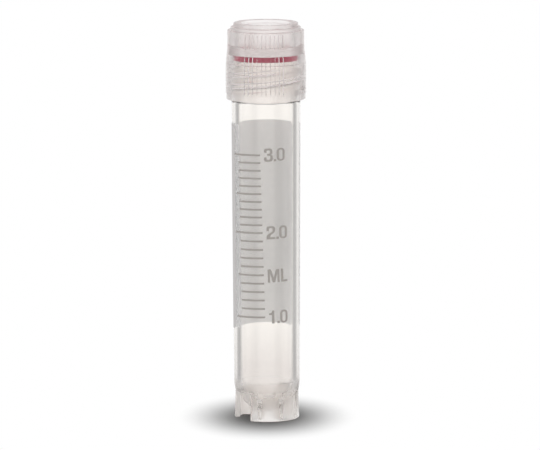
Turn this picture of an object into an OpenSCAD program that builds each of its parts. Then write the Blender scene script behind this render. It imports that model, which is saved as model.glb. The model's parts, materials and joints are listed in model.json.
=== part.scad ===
// Screw-cap cryovial: a translucent moulded tube with a round bottom and a notched foot,
// a ribbed screw cap, the washer that seals them, and the print on the tube.
// Millimetres. The vial stands on z = 0 with its axis on Z, and its scale faces -Y.
// Angles round the tube are measured from that front, positive towards +X.

/* [Tube] */
// Bore diameter at the rim and down the neck
bore_top_d = 9.8; // [8.6:0.1:11]
// Bore diameter where the round bottom starts
bore_foot_d = 9.3; // [8.4:0.1:10.8]
// Wall of the body
body_wall = 1.23; // [1.1:0.01:1.7]
// Wall of the neck, under its thread
neck_wall = 0.66; // [0.5:0.01:0.75]
// Height of the shoulder that the neck stands on
shoulder_h = 57.1; // [40:0.1:80]
// Length of the neck, from the shoulder to the rim
neck_h = 7.25; // [6.8:0.05:10]
// Width of the bevel round the rim and the shoulder
rim_bevel = 0.25; // [0.05:0.05:0.3]
// Thickness of the round bottom at its centre
floor_t = 1.5; // [1:0.1:2.5]
// Wall that the round bottom adds round the bore
dome_wall = 0.6; // [0.4:0.05:0.7]

/* [Foot] */
// Clear height under the round bottom
floor_gap = 1; // [0.5:0.1:2]
// Height of the skirt, from its edge to its waist
foot_h = 5; // [4.5:0.1:5.4]
// Height over which the waist widens into the body
flare_h = 1.1; // [0.6:0.1:2]
// How far the waist lies inside the body's wall
waist_inset = 0.28; // [0.1:0.01:0.5]
// How far the skirt's edge stands out from its waist
skirt_flare = 0.15; // [0:0.05:0.3]
// Wall of the skirt
skirt_wall = 0.9; // [0.8:0.05:1.1]
// Number of places round the foot, each a rib or a notch
foot_places = 8; // [6:2:12]
// Number of notches in the skirt
notch_count = 2; // [1:1:2]
// Width of each notch, in degrees
notch_angle = 58; // [20:1:70]
// Turn of the first notch from the front
notch_turn = -60; // [-180:1:180]
// Width of a foot rib where it meets the body
rib_root_w = 1.2; // [0.8:0.1:1.6]
// Width of a foot rib at its lower edge
rib_edge_w = 0.5; // [0.3:0.1:0.7]
// How far a foot rib reaches in from the skirt
rib_reach = 1.7; // [1.2:0.1:2.2]
// Height of the foot ribs above the skirt's edge
rib_lift = 0.3; // [0:0.1:0.6]

/* [Thread] */
// Number of thread starts
thread_starts = 2; // [1:1:3]
// Distance between neighbouring ridges
thread_pitch = 2; // [1.8:0.1:2.4]
// Depth of the ridges
thread_depth = 0.5; // [0.35:0.05:0.55]
// Width of a ridge at its root
ridge_root_w = 1; // [0.8:0.05:1.1]
// Width of a ridge at its crest
ridge_crest_w = 0.45; // [0.3:0.05:0.6]
// Radial clearance between one thread's crest and the other's root
thread_clear = 0.2; // [0.15:0.01:0.3]
// Clear height at both ends of the ridges
thread_margin = 0.3; // [0.2:0.05:0.4]
// Turn from the front where a ridge starts
thread_turn = 55; // [0:1:359]

/* [Cap] */
// Wall of the cap round its thread
cap_wall = 0.9; // [0.6:0.02:1.2]
// Gap between the cap's edge and the shoulder
cap_gap = 0.3; // [0.3:0.05:0.8]
// Height of the plain hem under the grip
hem_h = 1.1; // [0.6:0.1:2]
// How far the grip stands out from the hem
grip_proud = 0.1; // [0.05:0.05:0.3]
// Height of the grip's upright part, above the hem
grip_straight_h = 5; // [2:0.1:6]
// Height of the grip's upright part at its top
grip_upper_h = 2.7; // [0.5:0.1:4]
// How far the grip leans in between its two upright parts
grip_lean = 0.35; // [0.1:0.05:0.6]
// Thickness of the web between the washer and the recess
web_t = 1.4; // [1:0.1:2.5]
// Depth of the recess in the cap's top
recess_h = 4.25; // [3:0.05:6]
// Diameter of the recess
recess_d = 9.6; // [8:0.1:10]
// How far the lip stands into the recess
recess_lip = 0.35; // [0.1:0.05:0.5]
// Height of the lip
lip_h = 0.55; // [0.3:0.05:0.9]
// Height of the ring that crowns the cap
crown_h = 0.7; // [0.3:0.1:1.2]
// Wall of that ring, at the lip
crown_wall = 1.3; // [0.8:0.05:1.5]
// Height of the step under the ring
step_h = 0.6; // [0.3:0.1:1]
// How far the step stands out from the ring
step_out = 0.5; // [0.4:0.05:0.8]
// Number of ribbed panels round the grip
panel_count = 3; // [2:1:4]
// Width of each ribbed panel, in degrees
panel_angle = 58; // [30:1:80]
// Turn of the first ribbed panel's centre from the front
panel_turn = -3; // [-180:1:180]
// Number of ribs between the flutes of a ribbed panel
ribs = 9; // [4:1:12]
// Width of a flute, in degrees
flute_angle = 2; // [1:0.1:2.2]
// Depth of a flute
flute_depth = 0.2; // [0.1:0.05:0.3]

/* [Washer] */
// Thickness of the washer
washer_t = 1; // [0.5:0.05:1.5]
// How far the washer reaches out past the neck's wall
washer_out = 0.2; // [0.1:0.05:0.35]
// Width of the washer's ring
washer_w = 1.75; // [1.2:0.05:2.5]
// Bevel of the washer's edges
washer_bevel = 0.1; // [0.02:0.01:0.15]
// Clearance between the washer and its seat in the cap
washer_clear = 0.05; // [0.02:0.01:0.1]
// Depth of the seat that holds the washer
seat_h = 1.6; // [1.1:0.05:2]

/* [Print] */
// Thickness of the ink
ink_t = 0.1; // [0.06:0.01:0.12]
// Height of the writing panel's lower edge
panel_low = 16.3; // [10:0.1:25]
// Height of the writing panel
panel_h = 36.7; // [10:0.1:38]
// Turn from the front where the writing panel starts, at the back right
panel_start = 103; // [80:1:170]
// Width of the writing panel round the tube, in degrees
panel_wrap = 191; // [60:1:200]
// Height of the scale's lowest mark
scale_low = 18.85; // [10:0.05:25]
// Distance between the marks of the lower half
mark_pitch_low = 1.515; // [1:0.005:1.55]
// Distance between the marks of the upper half
mark_pitch_high = 1.39; // [1:0.005:1.5]
// Number of marks in each half of the scale
marks_half = 10; // [5:5:10]
// Height of a mark's stroke
mark_w = 0.28; // [0.15:0.01:0.4]
// Length of a long mark round the tube, in degrees
mark_long = 57; // [40:1:60]
// Length of a middle mark round the tube, in degrees
mark_middle = 50.5; // [30:0.5:60]
// Length of a short mark round the tube, in degrees
mark_short = 44; // [20:1:60]
// Turn from the front where the marks end, at half height
mark_end = -6.5; // [-20:0.5:10]
// Tilt of the scale on the tube, in degrees
print_tilt = 1.6; // [-3:0.1:3]

/* [Hidden] */

smooth = 96;            // facets of a round surface
eps = 0.3;              // how far joined shapes run into each other
past = 1;               // how far a cut runs past the solid
ridge_step = 10;        // degrees between two sections of a thread ridge
ridge_fade = 40;        // degrees over which a ridge rises and dies away
ridge_least = 0.1;      // share of its depth that a ridge ends with, inside the wall
edge_soft = 0.2;        // softening of the cap's and the foot's outer edges
ink_gap = 0.02;         // how far the films of ink stay clear of the wall
front = -90;            // direction of the front in the plan

// Tube
bore_top_r = bore_top_d / 2;
bore_foot_r = bore_foot_d / 2;
body_top_r = bore_top_r + body_wall;
body_foot_r = bore_foot_r + body_wall;
body_low = foot_h + flare_h;
bevel_low = shoulder_h - rim_bevel;
neck_r = bore_top_r + neck_wall;
rim_z = shoulder_h + neck_h;
dome_r = bore_foot_r + dome_wall;
dome_z = floor_gap + dome_r;
bore_foot_z = floor_gap + floor_t + bore_foot_r;

// Foot
waist_r = body_foot_r - waist_inset;
skirt_r = waist_r + skirt_flare;
skirt_in_r = skirt_r - skirt_wall;

// Thread
thread_lead = thread_pitch * thread_starts;
neck_crest_r = neck_r + thread_depth;
cap_bore_r = neck_crest_r + thread_clear;
cap_crest_r = cap_bore_r - thread_depth;

// Washer
washer_r = neck_r + washer_out;
seat_r = washer_r + washer_clear;
washer_top = rim_z + washer_t;

// Cap
cap_low = shoulder_h + cap_gap;
hem_top = cap_low + hem_h;
recess_z = washer_top + web_t;
cap_top = recess_z + recess_h;
step_z = cap_top - crown_h;
grip_top = step_z - step_h;
grip_knee = hem_top + grip_straight_h;
grip_neck = grip_top - grip_upper_h;
grip_r = cap_bore_r + cap_wall;
grip_top_r = grip_r - grip_lean;
hem_r = grip_r - grip_proud;
recess_r = recess_d / 2;
lip_r = recess_r - recess_lip;
crown_r = lip_r + crown_wall;
step_r = crown_r + step_out;

// The middle of a ridge runs between these heights, clear of the cap's edge and the washer's seat.
ridge_low = cap_low + thread_margin + ridge_root_w / 2;
ridge_high = washer_top - seat_h - thread_margin - ridge_root_w / 2;

// Scale
scale_mid = scale_low + marks_half * mark_pitch_low;
mark_heights = concat(
    [for (i = [0 : marks_half]) scale_low + i * mark_pitch_low],
    [for (i = [1 : marks_half]) scale_mid + i * mark_pitch_high]);
marks_long = marks_half;        // every so many marks, one is long
marks_middle = marks_half / 2;  // and half way between them, one is middling

// Radius of the body's outer wall at a height, which has the mould's draft.
function body_r(z) =
    body_foot_r + (body_top_r - body_foot_r) * (z - body_low) / (shoulder_h - body_low);

// How much of its full depth a ridge has at an angle along it.
function ridge_share(a, full) = max(ridge_least, min(1, a / ridge_fade, (full - a) / ridge_fade));

// The four corners of a ridge's section at an angle along it.
function ridge_section(a, full, root_r, crest_r) =
    let (r = root_r + (crest_r - root_r) * ridge_share(a, full), z = thread_lead * a / 360)
    [[root_r * cos(a), root_r * sin(a), z - ridge_root_w / 2],
     [r * cos(a), r * sin(a), z - ridge_crest_w / 2],
     [r * cos(a), r * sin(a), z + ridge_crest_w / 2],
     [root_r * cos(a), root_r * sin(a), z + ridge_root_w / 2]];

// One helical ridge, right-handed, from the plan's +X up. Its root lies inside the wall.
module thread_ridge(root_r, crest_r, rise) {
    steps = floor(rise / thread_lead * 360 / ridge_step);
    full = steps * ridge_step;
    points = [for (i = [0 : steps]) each ridge_section(i * ridge_step, full, root_r, crest_r)];
    sides = [for (i = [0 : steps - 1], c = [0 : 3])
        let (a = 4 * i + c, b = 4 * i + (c + 1) % 4)
        each [[a, b, b + 4], [a, b + 4, a + 4]]];
    last = 4 * steps;
    ends = [[2, 1, 0], [3, 2, 0], [last, last + 1, last + 2], [last, last + 2, last + 3]];
    outward = crest_r > root_r;
    faces = [for (f = concat(sides, ends)) outward ? f : [f[2], f[1], f[0]]];
    polyhedron(points, faces);
}

// All starts of a thread, from a height to the top of the room for it.
module thread(root_r, crest_r, low) {
    for (s = [0 : thread_starts - 1])
        translate([0, 0, low])
            rotate(front + thread_turn + s * 360 / thread_starts)
                thread_ridge(root_r, crest_r, ridge_high - low);
}

// A ring cut or sector between two angles from the front, from an outline in radius and height.
module sector(turn, angle) {
    rotate(front + turn)
        rotate_extrude(angle = angle, $fn = smooth)
            children();
}

module foot_rib() {
    translate([skirt_in_r - rib_reach, 0, 0])
        rotate([90, 0, 90])
            linear_extrude(height = rib_reach + eps)
                polygon([
                    [-rib_edge_w / 2, rib_lift], [rib_edge_w / 2, rib_lift],
                    [rib_root_w / 2, foot_h], [-rib_root_w / 2, foot_h]]);
}

// The skirt, with its notches cut up to the waist.
module foot_skirt() {
    difference() {
        rotate_extrude($fn = smooth)
            polygon([
                [skirt_in_r, 0], [skirt_r - edge_soft, 0], [skirt_r, edge_soft],
                [waist_r, foot_h], [waist_r, foot_h + eps], [skirt_in_r, foot_h + eps]]);
        for (n = [0 : notch_count - 1])
            sector(notch_turn + n * 360 / notch_count - notch_angle / 2, notch_angle)
                translate([skirt_in_r - past, -past])
                    square([skirt_wall + 2 * past, foot_h + past]);
    }
}

module tube_outside() {
    rotate_extrude($fn = smooth)
        polygon([
            [0, foot_h], [waist_r, foot_h], [body_foot_r, body_low],
            [body_r(bevel_low), bevel_low], [body_top_r - rim_bevel, shoulder_h],
            [neck_r, shoulder_h], [neck_r, rim_z - rim_bevel], [neck_r - rim_bevel, rim_z],
            [0, rim_z]]);
    translate([0, 0, dome_z])
        sphere(r = dome_r, $fn = smooth);
}

module tube_bore() {
    rotate_extrude($fn = smooth)
        polygon([
            [0, bore_foot_z], [bore_foot_r, bore_foot_z], [bore_top_r, shoulder_h],
            [bore_top_r, rim_z + past], [0, rim_z + past]]);
    translate([0, 0, bore_foot_z])
        sphere(r = bore_foot_r, $fn = smooth);
}

module tube() {
    color("gainsboro")
        difference() {
            union() {
                tube_outside();
                foot_skirt();
                for (k = [0 : foot_places - 1])
                    if (k % (foot_places / notch_count) != 0)
                        rotate(front + notch_turn + k * 360 / foot_places)
                            foot_rib();
                thread(neck_r - eps / 2, neck_crest_r, ridge_low);
            }
            tube_bore();
        }
}

// The grip's outline stands out from the hem and leans in from its knee to its neck.
module cap_outside() {
    rotate_extrude($fn = smooth)
        polygon([
            [0, cap_low], [hem_r - edge_soft, cap_low], [hem_r, cap_low + edge_soft],
            [hem_r, hem_top], [grip_r, hem_top], [grip_r, grip_knee],
            [grip_top_r, grip_neck], [grip_top_r, grip_top], [step_r, grip_top],
            [step_r, step_z - edge_soft], [step_r - edge_soft, step_z], [crown_r, step_z],
            [crown_r, cap_top - edge_soft], [crown_r - edge_soft, cap_top], [0, cap_top]]);
}

// The flutes of one ribbed panel follow the grip's outline at their own depth.
module panel_flutes(turn) {
    pitch = panel_angle / ribs;
    for (i = [0 : ribs])
        sector(turn - panel_angle / 2 + i * pitch - flute_angle / 2, flute_angle)
            polygon([
                [grip_r - flute_depth, hem_top], [grip_r + past, hem_top],
                [grip_r + past, grip_top + past], [grip_top_r - flute_depth, grip_top + past],
                [grip_top_r - flute_depth, grip_neck], [grip_r - flute_depth, grip_knee]]);
}

module cap_inside() {
    rotate_extrude($fn = smooth)
        polygon([
            [0, cap_low - past], [cap_bore_r, cap_low - past],
            [cap_bore_r, washer_top - seat_h], [seat_r, washer_top - seat_h],
            [seat_r, washer_top], [0, washer_top]]);
    rotate_extrude($fn = smooth)
        polygon([
            [0, recess_z], [recess_r, recess_z], [recess_r, cap_top - lip_h],
            [lip_r, cap_top - lip_h], [lip_r, cap_top + past], [0, cap_top + past]]);
}

module cap() {
    color("lightgray")
        union() {
            difference() {
                cap_outside();
                cap_inside();
                for (n = [0 : panel_count - 1])
                    panel_flutes(panel_turn + n * 360 / panel_count);
            }
            // half a pitch above the neck's ridges, so each lies midway between two of them
            thread(cap_bore_r + eps / 2, cap_crest_r, ridge_low + thread_pitch / 2);
        }
}

module washer() {
    color("crimson")
        rotate_extrude($fn = smooth)
            polygon([
                [washer_r - washer_w, rim_z], [washer_r - washer_bevel, rim_z],
                [washer_r, rim_z + washer_bevel], [washer_r, washer_top - washer_bevel],
                [washer_r - washer_bevel, washer_top], [washer_r - washer_w, washer_top]]);
}

// Outline of a film of ink on the body's wall between two heights.
module ink_outline(low, high) {
    translate([ink_gap, 0])
        polygon([
            [body_r(low), low], [body_r(low) + ink_t, low],
            [body_r(high) + ink_t, high], [body_r(high), high]]);
}

module writing_panel() {
    color("silver")
        sector(panel_start, panel_wrap)
            ink_outline(panel_low, panel_low + panel_h);
}

// Each mark is the part of a band of ink inside a slot that is tilted as the scale is.
module scale_mark(z, length) {
    slide = (scale_mid - z) * tan(print_tilt) / body_r(z) * 180 / PI;
    reach = body_r(z) + past;
    half_chord = body_r(z) * sin(length / 2);
    intersection() {
        sector(mark_end + slide - length / 2 - 90, 180)
            ink_outline(z - past, z + past);
        translate([0, 0, z])
            rotate(front + mark_end + slide - length / 2)
                rotate([print_tilt, 0, 0])
                    translate([0, -half_chord, -mark_w / 2])
                        cube([reach, 2 * half_chord, mark_w]);
    }
}

module scale_marks() {
    color("dimgray")
        for (i = [0 : 2 * marks_half])
            scale_mark(mark_heights[i],
                i % marks_long == 0 ? mark_long : i % marks_middle == 0 ? mark_middle : mark_short);
}

tube();
cap();
washer();
writing_panel();
scale_marks();
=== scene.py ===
"""Dresses the screw-cap cryovial: its clear moulded tube and cap, sealing washer and print.

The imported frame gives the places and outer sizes. A size that it doesn't hold is a field of the
class that uses it, in millimetres. Angles round the vial are in degrees, measured from its front,
-Y, and positive towards +X.
"""

import json
import logging
import math
from collections.abc import Callable, Iterator, Sequence
from contextlib import contextmanager
from dataclasses import dataclass
from enum import Enum
from itertools import pairwise

import bmesh
import bpy
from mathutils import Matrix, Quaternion, Vector

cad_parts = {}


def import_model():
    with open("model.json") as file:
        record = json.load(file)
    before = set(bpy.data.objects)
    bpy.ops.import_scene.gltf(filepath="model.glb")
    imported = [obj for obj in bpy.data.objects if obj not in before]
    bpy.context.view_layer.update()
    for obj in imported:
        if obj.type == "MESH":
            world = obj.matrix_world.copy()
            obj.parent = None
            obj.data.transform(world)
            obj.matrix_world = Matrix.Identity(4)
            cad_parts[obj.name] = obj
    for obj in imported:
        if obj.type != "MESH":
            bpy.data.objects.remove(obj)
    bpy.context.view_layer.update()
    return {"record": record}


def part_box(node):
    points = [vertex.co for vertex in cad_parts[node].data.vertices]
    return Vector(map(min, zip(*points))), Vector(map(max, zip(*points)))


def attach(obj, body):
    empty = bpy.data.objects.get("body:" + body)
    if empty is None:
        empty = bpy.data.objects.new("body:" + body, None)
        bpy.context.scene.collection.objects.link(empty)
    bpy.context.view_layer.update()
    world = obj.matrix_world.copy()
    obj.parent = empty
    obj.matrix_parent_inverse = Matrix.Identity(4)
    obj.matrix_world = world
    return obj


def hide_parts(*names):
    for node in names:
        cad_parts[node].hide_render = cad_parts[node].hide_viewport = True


log = logging.getLogger("cryovial")

MM = 0.001
TURNS = 180  # facets of a turned body, two degrees each
FINE_TURNS = 540  # facets of a turned body with flutes
WELD = 2e-6  # how close two points are that become one, in metres
FRONT = -90.0  # direction of the vial's front in the plan
SHARP = math.radians(24)  # edges that turn by more than this stay crisp
ON_EDGE = 0.1  # how near a facet's edge a point counts as on it, in facets
WHITE = (1.0, 1.0, 1.0)

Profile = list[tuple[float, float]]
Colour = tuple[float, float, float]
Place = tuple[float, float, float]
Socket = bpy.types.NodeSocket
Sockets = bpy.types.bpy_prop_collection  # of a node, by name or number


class Body(Enum):
    """The moving bodies that a piece can ride on."""

    VIAL = "vial"
    SEAL = "seal"
    CLOSURE = "closure"


class Slot(Enum):
    """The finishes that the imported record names."""

    TUBE = "tube_plastic"
    CAP = "cap_plastic"
    WASHER = "washer_silicone"
    PANEL = "panel_ink"
    SCALE = "scale_ink"


class Join(Enum):
    """How one solid changes another."""

    ADD = "UNION"
    CUT = "DIFFERENCE"


# ---------------------------------------------------------------- outlines


@dataclass(frozen=True)
class Corner:
    """A corner of an outline: its radius (or width) and height, and how far it is rounded."""

    r: float
    z: float
    soft: float = 0.0


def softened(
    corners: Sequence[Corner], steps: int = 4, closed: bool = False, hold: float = 0.0
) -> Profile:
    """Rounds the corners of an outline.

    Args:
        corners: the outline's corners in order.
        steps: the number of short edges that replace a rounded corner.
        closed: whether the last corner leads back to the first.
        hold: where to add a point on each long side beside a rounded corner, as a distance
            from its bend, which keeps the side's shading straight.

    Returns:
        The outline's points, as radius and height. A closed one ends where it starts.
    """
    points: Profile = []
    for index, corner in enumerate(corners):
        at = Vector((corner.r, corner.z))
        before, after = corners[index - 1], corners[(index + 1) % len(corners)]
        sides = [Vector((other.r, other.z)) - at for other in (before, after)]
        reach = min(corner.soft, *(side.length / 2 for side in sides))
        is_end = not closed and index in (0, len(corners) - 1)
        if reach <= 0 or is_end:
            points.append((at.x, at.y))
            continue
        start, end = (at + side.normalized() * reach for side in sides)
        shares = [step / steps for step in range(steps + 1)]
        bend = [start * (1 - s) ** 2 + at * 2 * s * (1 - s) + end * s**2 for s in shares]
        held = [
            [at + side.normalized() * (reach + hold)]
            if hold and side.length > 2 * (reach + hold)
            else []
            for side in sides
        ]
        points.extend((point.x, point.y) for point in (*held[0], *bend, *held[1]))
    return [*points, points[0]] if closed else points


def traced(*places: tuple[float, ...]) -> tuple[Corner, ...]:
    """An outline's corners, each from its radius (or width), height and how far it is rounded."""
    return tuple(Corner(*place) for place in places)


def bowl(centre_z: float, radius: float, low: float, high: float, steps: int = 16) -> Profile:
    """An arc of a sphere's outline between two angles from its lowest point.

    Args:
        centre_z: height of the sphere's centre.
        radius: radius of the sphere.
        low: first angle from the lowest point, in degrees.
        high: last angle from the lowest point, in degrees.
        steps: the number of edges in the arc.

    Returns:
        The arc's points, as radius and height.
    """
    angles = [math.radians(low + (high - low) * step / steps) for step in range(steps + 1)]
    return [(radius * math.sin(a), centre_z - radius * math.cos(a)) for a in angles]


def angle_of(point: Vector) -> float:
    """A point's angle from the front, from -180 to 180 degrees."""
    return (math.degrees(math.atan2(point.y, point.x)) - FRONT + 180) % 360 - 180


# ---------------------------------------------------------------- modelling by hand


def take(*pieces: bpy.types.Object) -> bpy.types.Object:
    """Selects only these pieces and makes the first one active.

    Args:
        *pieces: the pieces to select.

    Returns:
        The first piece.
    """
    bpy.ops.object.select_all(action="DESELECT")
    for piece in pieces:
        piece.select_set(True)
    bpy.context.view_layer.objects.active = pieces[0]
    return pieces[0]


def copied(piece: bpy.types.Object) -> bpy.types.Object:
    """Copies a piece, with a mesh of its own.

    Args:
        piece: the piece to copy.

    Returns:
        The copy.
    """
    take(piece)
    bpy.ops.object.duplicate(linked=False)
    return bpy.context.object


def joined(pieces: Sequence[bpy.types.Object], name: str) -> bpy.types.Object:
    """Joins pieces into one.

    Args:
        pieces: the pieces, which the first one takes up.
        name: the name of the whole.

    Returns:
        The first piece, which now holds them all.
    """
    whole = take(*pieces)
    bpy.ops.object.join()
    whole.name = whole.data.name = name
    return whole


@contextmanager
def editing(piece: bpy.types.Object, kind: str = "VERT") -> Iterator[None]:
    """Opens a piece in edit mode with nothing selected.

    Args:
        piece: the piece to shape.
        kind: what is selected by place, VERT, EDGE or FACE.
    """
    take(piece)
    bpy.ops.object.mode_set(mode="EDIT")
    bpy.ops.mesh.select_mode(type=kind)
    bpy.ops.mesh.select_all(action="DESELECT")
    try:
        yield
    finally:
        bpy.ops.object.mode_set(mode="OBJECT")


def pick_all() -> None:
    """Selects all of the piece in edit mode."""
    bpy.ops.mesh.select_all(action="SELECT")


def pick_points(piece: bpy.types.Object, wanted: Callable[[Vector], bool]) -> None:
    """Selects points of the piece in edit mode by their place.

    Args:
        piece: the piece being shaped.
        wanted: tells from a point's place whether it is selected.
    """
    mesh = bmesh.from_edit_mesh(piece.data)
    for point in mesh.verts:
        point.select_set(wanted(point.co))
    mesh.select_flush_mode()
    bmesh.update_edit_mesh(piece.data)


def pick_faces(piece: bpy.types.Object, wanted: Callable[[Vector, Vector], bool]) -> None:
    """Selects faces of the piece in edit mode by their centre and normal.

    Args:
        piece: the piece being shaped.
        wanted: tells from a face's centre and normal whether it is selected.
    """
    mesh = bmesh.from_edit_mesh(piece.data)
    for face in mesh.faces:
        face.select_set(wanted(face.calc_center_median(), face.normal))
    bmesh.update_edit_mesh(piece.data)


def scale_selected(across: float, along: float, up: float) -> None:
    """Scales what is selected from the origin along X, Y and Z."""
    bpy.ops.transform.resize(value=(across, along, up), center_override=(0, 0, 0))


def spin_selected(steps: int, angle: float) -> None:
    """Spins what is selected round the vial's axis by an angle in radians."""
    bpy.ops.mesh.spin(steps=steps, dupli=False, angle=angle, center=(0, 0, 0), axis=(0, 0, 1))


def settle(piece: bpy.types.Object) -> bpy.types.Object:
    """Puts a piece's place, turn and scale into its mesh.

    Args:
        piece: the piece to settle.

    Returns:
        The same piece.
    """
    take(piece)
    bpy.ops.object.transform_apply(location=True, rotation=True, scale=True)
    return piece


def upright_square() -> bpy.types.Object:
    """Starts a piece as a millimetre's square in the plane of X and Z.

    Returns:
        The square, centred on the origin.
    """
    bpy.ops.object.select_all(action="DESELECT")
    bpy.ops.mesh.primitive_plane_add(size=MM, rotation=(math.pi / 2, 0, 0))
    return bpy.context.object


def right_side_out(piece: bpy.types.Object) -> None:
    """Merges doubled points and points all faces outwards.

    Args:
        piece: the closed piece.
    """
    with editing(piece):
        pick_all()
        bpy.ops.mesh.remove_doubles(threshold=WELD)
        pick_all()
        bpy.ops.mesh.normals_make_consistent(inside=False)


def finish_with(piece: bpy.types.Object, kind: str, **settings: object) -> None:
    """Adds one modifier to a piece and applies it.

    Args:
        piece: the piece to change.
        kind: Blender's name of the modifier.
        **settings: the modifier's own values.
    """
    take(piece)
    modifier = piece.modifiers.new(kind.title(), kind)
    for name, value in settings.items():
        setattr(modifier, name, value)
    bpy.ops.object.modifier_apply(modifier=modifier.name)


def combine(piece: bpy.types.Object, tool: bpy.types.Object, how: Join) -> None:
    """Adds a solid to a piece or cuts it away, and takes the tool off the bench."""
    finish_with(piece, "BOOLEAN", operation=how.value, object=tool, solver="EXACT")
    bpy.data.objects.remove(tool)


def drawn_line(outline: Profile) -> bpy.types.Object:
    """Draws an outline as a chain of edges in the plane of X and Z.

    Args:
        outline: the points, as radius (or width) and height.

    Returns:
        The chain, which starts and ends apart even where its ends meet.
    """
    x, z = outline[0]
    bpy.ops.object.select_all(action="DESELECT")
    bpy.ops.mesh.primitive_plane_add(size=MM, location=(x * MM, 0, z * MM))
    chain = settle(bpy.context.object)
    with editing(chain):
        pick_all()
        bpy.ops.mesh.merge(type="CENTER")
        for (x, z), (next_x, next_z) in pairwise(outline):
            step = ((next_x - x) * MM, 0, (next_z - z) * MM)
            bpy.ops.mesh.extrude_region_move(TRANSFORM_OT_translate={"value": step})
    return chain


def turned(name: str, outline: Profile, facets: int = TURNS) -> bpy.types.Object:
    """Turns an outline round the vial's axis.

    Args:
        name: the piece's name.
        outline: radius and height of the points, from pole to pole or back to the first.
        facets: the number of flat faces round the body.

    Returns:
        The closed piece.
    """
    piece = drawn_line(outline)
    piece.name = piece.data.name = name
    with editing(piece):
        pick_all()
        spin_selected(facets, math.tau)
    right_side_out(piece)
    return piece


def sector_block(low: Corner, high: Corner, turn: float, width: float) -> bpy.types.Object:
    """A block between two radii and heights that reaches round part of a turn.

    Args:
        low: its inner lower corner.
        high: its outer upper corner.
        turn: where its middle is, in degrees from the front.
        width: how far it reaches round, in degrees.

    Returns:
        The closed block.
    """
    start = math.radians(FRONT + turn + width / 2)  # spin turns clockwise
    block = settle(upright_square())
    with editing(block):
        pick_all()
        bpy.ops.transform.resize(value=(high.r - low.r, 1, high.z - low.z))
        middle = ((low.r + high.r) / 2 * MM, 0, (low.z + high.z) / 2 * MM)
        bpy.ops.transform.translate(value=middle)
    block.rotation_euler.z = start
    settle(block)
    with editing(block, "FACE"):
        pick_all()
        spin_selected(max(2, round(width / 2)), math.radians(width))
    right_side_out(block)
    return block


# ---------------------------------------------------------------- threads


@dataclass(frozen=True)
class Thread:
    """A two-start screw thread: its wall, the size of its ridges and where they run.

    A depth below zero points into a bore. The roots lie inside the wall by the sink.
    """

    wall_r: float
    depth: float
    low: float = 58.2
    high: float = 62.95
    turn: float = 55.0
    sink: float = 0.15
    root_w: float = 1.0
    crest_w: float = 0.45
    lead: float = 4.0
    starts: int = 2
    fade: float = 40.0
    step: float = 6.0
    least: float = 0.05

    @property
    def root_r(self) -> float:
        """Radius of the ridges' roots."""
        return self.wall_r - math.copysign(self.sink, self.depth)

    @property
    def crest_r(self) -> float:
        """Radius of the ridges' crests."""
        return self.wall_r + self.depth

    def ridge(self) -> bpy.types.Object:
        """Models one helical ridge, whose ends sink into the wall.

        Returns:
            The closed ridge.
        """
        across, middle_r = self.crest_r - self.root_r, (self.crest_r + self.root_r) / 2
        ridge = settle(upright_square())
        steps = int((self.high - self.low) / self.lead * 360 / self.step)
        with editing(ridge):
            pick_all()
            bpy.ops.transform.resize(value=(abs(across), 1, self.root_w))
            bpy.ops.transform.translate(value=(middle_r * MM, 0, 0))
            outer = self.crest_r * MM
            pick_points(ridge, lambda at: abs(at.x - outer) < WELD)
            scale_selected(1, 1, self.crest_w / self.root_w)
            pick_all()
            bpy.ops.mesh.delete(type="ONLY_FACE")
        finish_with(
            ridge,
            "SCREW",
            angle=math.radians(steps * self.step),
            screw_offset=self.lead * MM * steps * self.step / 360,
            steps=steps,
            render_steps=steps,
            use_smooth_shade=False,
        )
        self._sink_ends(ridge, steps)
        with editing(ridge):
            pick_all()
            bpy.ops.mesh.fill_holes(sides=4)
        ridge.location.z = self.low * MM
        ridge.rotation_euler.z = math.radians(FRONT + self.turn)
        settle(ridge)
        right_side_out(ridge)
        return ridge

    def _sink_ends(self, ridge: bpy.types.Object, steps: int) -> None:
        """Slopes the crest at both ends of a ridge down to just under the wall's face.

        Args:
            ridge: the ridge, still open at its ends.
            steps: the number of its steps along the helix.
        """
        rings = int(self.fade / self.step)
        points = len(ridge.data.vertices) // (steps + 1)
        for ring in range(rings):
            share = max(self.least, ring / rings)
            r = self.root_r + (self.crest_r - self.root_r) * share
            inward = r / self.crest_r
            for place in (ring, steps - ring):
                chosen = range(place * points, (place + 1) * points)
                crest = [i for i in chosen if self._is_crest(ridge.data.vertices[i].co)]
                with editing(ridge):
                    mesh = bmesh.from_edit_mesh(ridge.data)
                    mesh.verts.ensure_lookup_table()
                    for i in crest:
                        mesh.verts[i].select_set(True)
                    bmesh.update_edit_mesh(ridge.data)
                    scale_selected(inward, inward, 1)

    def _is_crest(self, at: Vector) -> bool:
        """Whether a point of the ridge lies on its crest."""
        return abs(math.hypot(at.x, at.y) - self.crest_r * MM) < WELD

    def add_to(self, piece: bpy.types.Object) -> None:
        """Models all starts and adds them to a piece as one solid.

        Args:
            piece: the tube or the cap.
        """
        first = self.ridge()
        ridges = [first]
        for start in range(1, self.starts):
            copy = copied(first)
            copy.rotation_euler.z = math.tau * start / self.starts
            ridges.append(settle(copy))
        combine(piece, joined(ridges, "thread_ridges"), Join.ADD)


# ---------------------------------------------------------------- finishes

GRAIN_H = 2e-5  # height of the surface grain, in metres
AXIS_EDGE, LOW_EDGE, HIGH_EDGE = 1.2 * MM, 3.0 * MM, 0.5 * MM  # how softly the zones end
FOOT_TOP, FOOT_FADE = 9.0 * MM, 9.0 * MM  # where the darkening towards the foot starts to end, and over what
CORNER_TURN, CORNER_REACH = math.radians(48), math.radians(21)  # the studio's grey corners


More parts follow.
